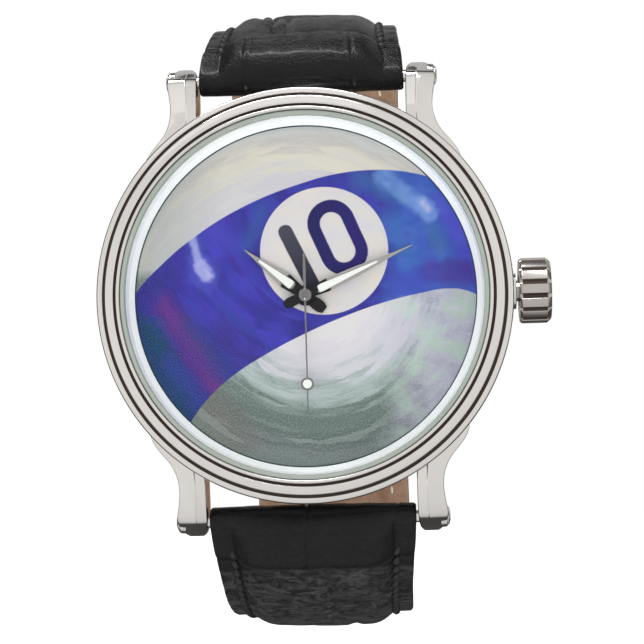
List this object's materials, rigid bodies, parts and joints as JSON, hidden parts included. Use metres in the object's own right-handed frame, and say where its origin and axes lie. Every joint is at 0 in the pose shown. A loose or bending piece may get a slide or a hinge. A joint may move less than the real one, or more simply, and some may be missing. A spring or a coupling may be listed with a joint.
{
  "type": "wristwatch",
  "caption": "Round quartz wristwatch with a pool-ball painting as its dial, three hands, fluted crown and a padded black leather strap with pin buckle.",
  "frame": {"origin": "centre of the case back's flat outer face", "axes": "+Y out of the case back towards the wrist, so the dial faces -Y; +Z towards 12 o'clock; +X towards the crown at 3 o'clock"},
  "size_m": [0.0436, 0.0655, 0.0645],
  "materials": {
    "polished_case": "polished",
    "brushed_back": "brushed",
    "crystal": "clear polished",
    "crystal_seal": "satin",
    "rehaut": "satin",
    "dial_print": "printed, satin",
    "lume": "matte",
    "brass": "polished",
    "nickel": "plated",
    "steel": "bright",
    "white_plastic": "satin",
    "chip": "matte",
    "board": "satin",
    "copper": "wound enamelled wire",
    "iron": "stamped",
    "magnet": "ground",
    "black_rubber": "matte",
    "black_leather": "crocodile grain, semi-gloss",
    "tan_lining": "matte"
  },
  "bodies": {
    "case": {"case_middle": "polished_case", "case_back": "brushed_back", "case_back_gasket": "black_rubber", "bezel": "polished_case", "crystal": "crystal", "crystal_gasket": "crystal_seal", "rehaut_ring": "rehaut", "dial": "dial_print", "movement_holder": "white_plastic", "main_plate": "nickel", "train_bridge": "brushed_back", "bridge_screw_1": "steel", "bridge_screw_2": "steel", "bridge_screw_3": "steel", "circuit_board": "board", "driver_chip": "chip", "quartz_can": "nickel", "battery": "steel", "battery_clamp": "steel", "coil": "copper", "stator": "iron", "crown_tube": "steel", "lug_bar_12": "polished_case", "lug_screw_12": "polished_case", "lug_bar_6": "polished_case", "lug_screw_6": "polished_case"},
    "seconds": {"seconds_wheel": "brass", "seconds_hand": "polished_case", "seconds_hand_lume": "lume"},
    "minutes": {"centre_wheel": "brass", "cannon_pinion": "steel", "minute_hand": "polished_case", "minute_hand_lume": "lume"},
    "hours": {"hour_wheel": "brass", "hour_hand": "polished_case", "hour_hand_lume": "lume"},
    "third": {"third_wheel": "brass"},
    "intermediate": {"intermediate_wheel": "white_plastic"},
    "rotor_shaft": {"rotor": "magnet"},
    "minute_idler": {"minute_wheel": "brass"},
    "setting_idler": {"setting_wheel": "steel"},
    "clutch": {"clutch_wheel": "steel"},
    "crown_and_stem": {"crown": "polished_case", "crown_gasket": "black_rubber", "stem": "steel"},
    "lever": {"setting_lever": "steel"},
    "strap_12": {"strap_12_leather": "black_leather", "strap_12_lining": "tan_lining", "fixed_keeper": "black_leather", "buckle_bar": "steel"},
    "strap_6": {"strap_6_leather": "black_leather", "strap_6_lining": "tan_lining"},
    "keeper_slider": {"loose_keeper": "black_leather"},
    "buckle": {"buckle_frame": "polished_case"},
    "buckle_tang": {"tang": "polished_case"}
  },
  "joints": [
    {"name": "seconds_turn", "type": "hinge", "parent": "case", "child": "seconds", "pos_m": [0, -0.005, 0], "axis": [0, 1, 0], "continuous": true},
    {"name": "minutes_turn", "type": "hinge", "parent": "case", "child": "minutes", "pos_m": [0, -0.005, 0], "axis": [0, 1, 0], "continuous": true},
    {"name": "hours_turn", "type": "hinge", "parent": "case", "child": "hours", "pos_m": [0, -0.005, 0], "axis": [0, 1, 0], "continuous": true},
    {"name": "third_turn", "type": "hinge", "parent": "case", "child": "third", "pos_m": [-0.00291, -0.005, -0.00106], "axis": [0, 1, 0], "continuous": true},
    {"name": "intermediate_turn", "type": "hinge", "parent": "case", "child": "intermediate", "pos_m": [0.00154, -0.005, 0.00267], "axis": [0, 1, 0], "continuous": true},
    {"name": "rotor_turn", "type": "hinge", "parent": "case", "child": "rotor_shaft", "pos_m": [0.00287, -0.005, 0.00496], "axis": [0, 1, 0], "continuous": true},
    {"name": "minute_wheel_turn", "type": "hinge", "parent": "case", "child": "minute_idler", "pos_m": [0.00199, -0.005, 0.00167], "axis": [0, 1, 0], "continuous": true},
    {"name": "setting_wheel_turn", "type": "hinge", "parent": "case", "child": "setting_idler", "pos_m": [0.00415, -0.005, 0], "axis": [0, 1, 0], "continuous": true},
    {"name": "crown_turn", "type": "hinge", "parent": "case", "child": "clutch", "pos_m": [0.0204, -0.0037, 0], "axis": [1, 0, 0], "continuous": true},
    {"name": "crown_pull", "type": "slide", "parent": "clutch", "child": "crown_and_stem", "axis": [1, 0, 0], "range_m": [0, 0.0012]},
    {"name": "lever_tip", "type": "hinge", "parent": "case", "child": "lever", "pos_m": [0.0092, -0.0027, 0.0034], "axis": [0, -1, 0], "range_deg": [0, 22.84]},
    {"name": "strap_12_swing", "type": "hinge", "parent": "case", "child": "strap_12", "pos_m": [0, -0.0028, 0.0214], "axis": [1, 0, 0], "range_deg": [0, 75]},
    {"name": "strap_6_swing", "type": "hinge", "parent": "case", "child": "strap_6", "pos_m": [0, -0.0028, -0.0214], "axis": [-1, 0, 0], "range_deg": [0, 75]},
    {"name": "keeper_slide", "type": "hinge", "parent": "strap_12", "child": "keeper_slider", "pos_m": [0, -0.0028, -0.0214], "axis": [1, 0, 0], "range_deg": [-3, 17]},
    {"name": "buckle_swing", "type": "hinge", "parent": "strap_12", "child": "buckle", "pos_m": [0, 0.0502, -0.0067], "axis": [1, 0, 0], "range_deg": [0, 60]},
    {"name": "tang_swing", "type": "hinge", "parent": "buckle", "child": "buckle_tang", "pos_m": [0, 0.0502, -0.0067], "axis": [1, 0, 0], "range_deg": [0, 60]}
  ],
  "couplings": [
    {"joint": "minutes_turn", "follows": "seconds_turn", "ratio": 0.016667},
    {"joint": "hours_turn", "follows": "seconds_turn", "ratio": 0.0013889},
    {"joint": "third_turn", "follows": "seconds_turn", "ratio": -0.13333},
    {"joint": "minute_wheel_turn", "follows": "seconds_turn", "ratio": -0.0055556},
    {"joint": "setting_wheel_turn", "follows": "seconds_turn", "ratio": 0.013889},
    {"joint": "intermediate_turn", "follows": "seconds_turn", "ratio": -6},
    {"joint": "rotor_turn", "follows": "seconds_turn", "ratio": 30},
    {"joint": "lever_tip", "follows": "crown_pull", "rad_per_m": 332.19}
  ]
}
